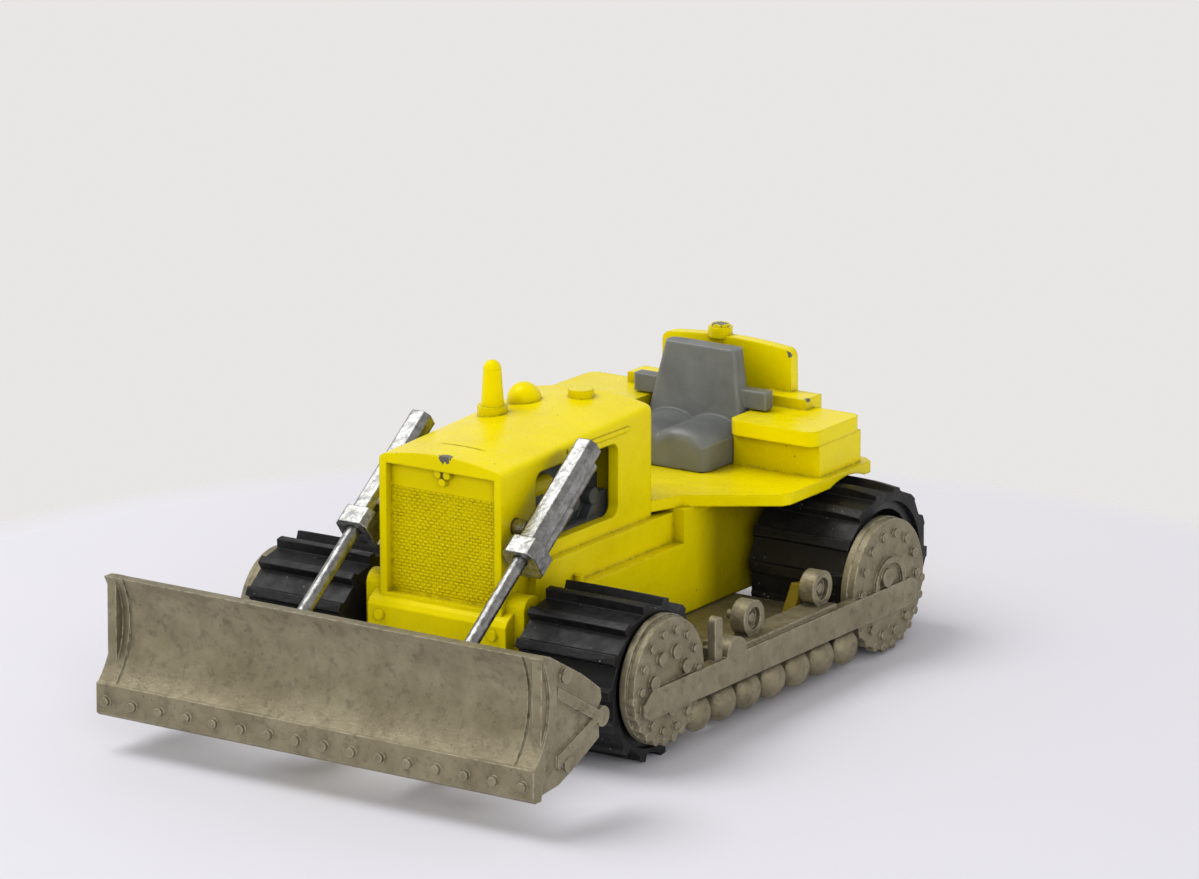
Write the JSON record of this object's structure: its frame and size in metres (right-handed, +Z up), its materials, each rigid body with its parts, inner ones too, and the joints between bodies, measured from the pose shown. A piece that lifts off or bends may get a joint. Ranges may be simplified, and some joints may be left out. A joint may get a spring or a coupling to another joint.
{
  "type": "toy bulldozer",
  "caption": "Die-cast toy bulldozer with a lifting blade on twin cylinders, rolling ribbed rubber sleeves and cast side frames.",
  "frame": {"origin": "on the ground, under the middle of the bounding box", "axes": "+Z up, blade faces -Y, +X is the vehicle's left-hand side"},
  "size_m": [0.0522, 0.079, 0.0341],
  "materials": {
    "yellow_paint": "glossy yellow enamel on die-cast zinc, chipped at edges",
    "bare_zinc": "bare, dull die-cast zinc alloy with fine casting grain",
    "chrome_plating": "bright metallised plastic, slightly worn",
    "seat_plastic": "grey translucent moulded plastic",
    "black_rubber": "satin black moulded rubber",
    "hub_plastic": "black moulded plastic",
    "dark_plastic": "dark grey moulded plastic",
    "steel": "plain steel wire"
  },
  "bodies": {
    "chassis": {"body_casting": "yellow_paint", "base_casting": "bare_zinc", "body_rivets": "bare_zinc", "roller_brackets": "yellow_paint", "engine_block": "dark_plastic", "seat": "seat_plastic", "left_track_frame": "bare_zinc", "right_track_frame": "bare_zinc", "track_frame_rivets": "bare_zinc", "blade_hinge_pin": "steel"},
    "blade": {"blade": "bare_zinc", "rod_end_pins": "steel"},
    "front_wheels": {"front_axle": "steel", "left_front_hub": "hub_plastic", "left_front_tyre": "black_rubber", "right_front_hub": "hub_plastic", "right_front_tyre": "black_rubber"},
    "rear_wheels": {"rear_axle": "steel", "left_rear_hub": "hub_plastic", "left_rear_tyre": "black_rubber", "right_rear_hub": "hub_plastic", "right_rear_tyre": "black_rubber"},
    "left_barrel": {"left_cylinder_barrel": "chrome_plating"},
    "left_rod": {"left_cylinder_rod": "chrome_plating"},
    "right_barrel": {"right_cylinder_barrel": "chrome_plating"},
    "right_rod": {"right_cylinder_rod": "chrome_plating"}
  },
  "joints": [
    {"name": "front_wheels_spin", "type": "hinge", "parent": "chassis", "child": "front_wheels", "pos_m": [0, -0.01232, 0.00803], "axis": [1, 0, 0], "continuous": true},
    {"name": "rear_wheels_spin", "type": "hinge", "parent": "chassis", "child": "rear_wheels", "pos_m": [0, 0.0309, 0.00842], "axis": [1, 0, 0], "continuous": true},
    {"name": "blade_lift", "type": "hinge", "parent": "chassis", "child": "blade", "pos_m": [0, -0.00833, 0.00309], "axis": [-1, 0, 0], "range_deg": [-6.5, 15]},
    {"name": "left_cylinder_tilt", "type": "hinge", "parent": "chassis", "child": "left_barrel", "pos_m": [0.01, -0.01436, 0.02184], "axis": [-1, 0, 0], "range_deg": [-6, 12.5]},
    {"name": "left_rod_slide", "type": "slide", "parent": "left_barrel", "child": "left_rod", "axis": [0, -0.813, -0.5822], "range_m": [-0.0052, 0.0023]},
    {"name": "right_cylinder_tilt", "type": "hinge", "parent": "chassis", "child": "right_barrel", "pos_m": [-0.01, -0.01436, 0.02184], "axis": [-1, 0, 0], "range_deg": [-6, 12.5]},
    {"name": "right_rod_slide", "type": "slide", "parent": "right_barrel", "child": "right_rod", "axis": [0, -0.813, -0.5822], "range_m": [-0.0052, 0.0023]}
  ],
  "couplings": [
    {"joint": "left_cylinder_tilt", "follows": "blade_lift", "ratio": 0.79},
    {"joint": "left_rod_slide", "follows": "blade_lift", "m_per_rad": -0.0189},
    {"joint": "right_cylinder_tilt", "follows": "blade_lift", "ratio": 0.79},
    {"joint": "right_rod_slide", "follows": "blade_lift", "m_per_rad": -0.0189}
  ]
}
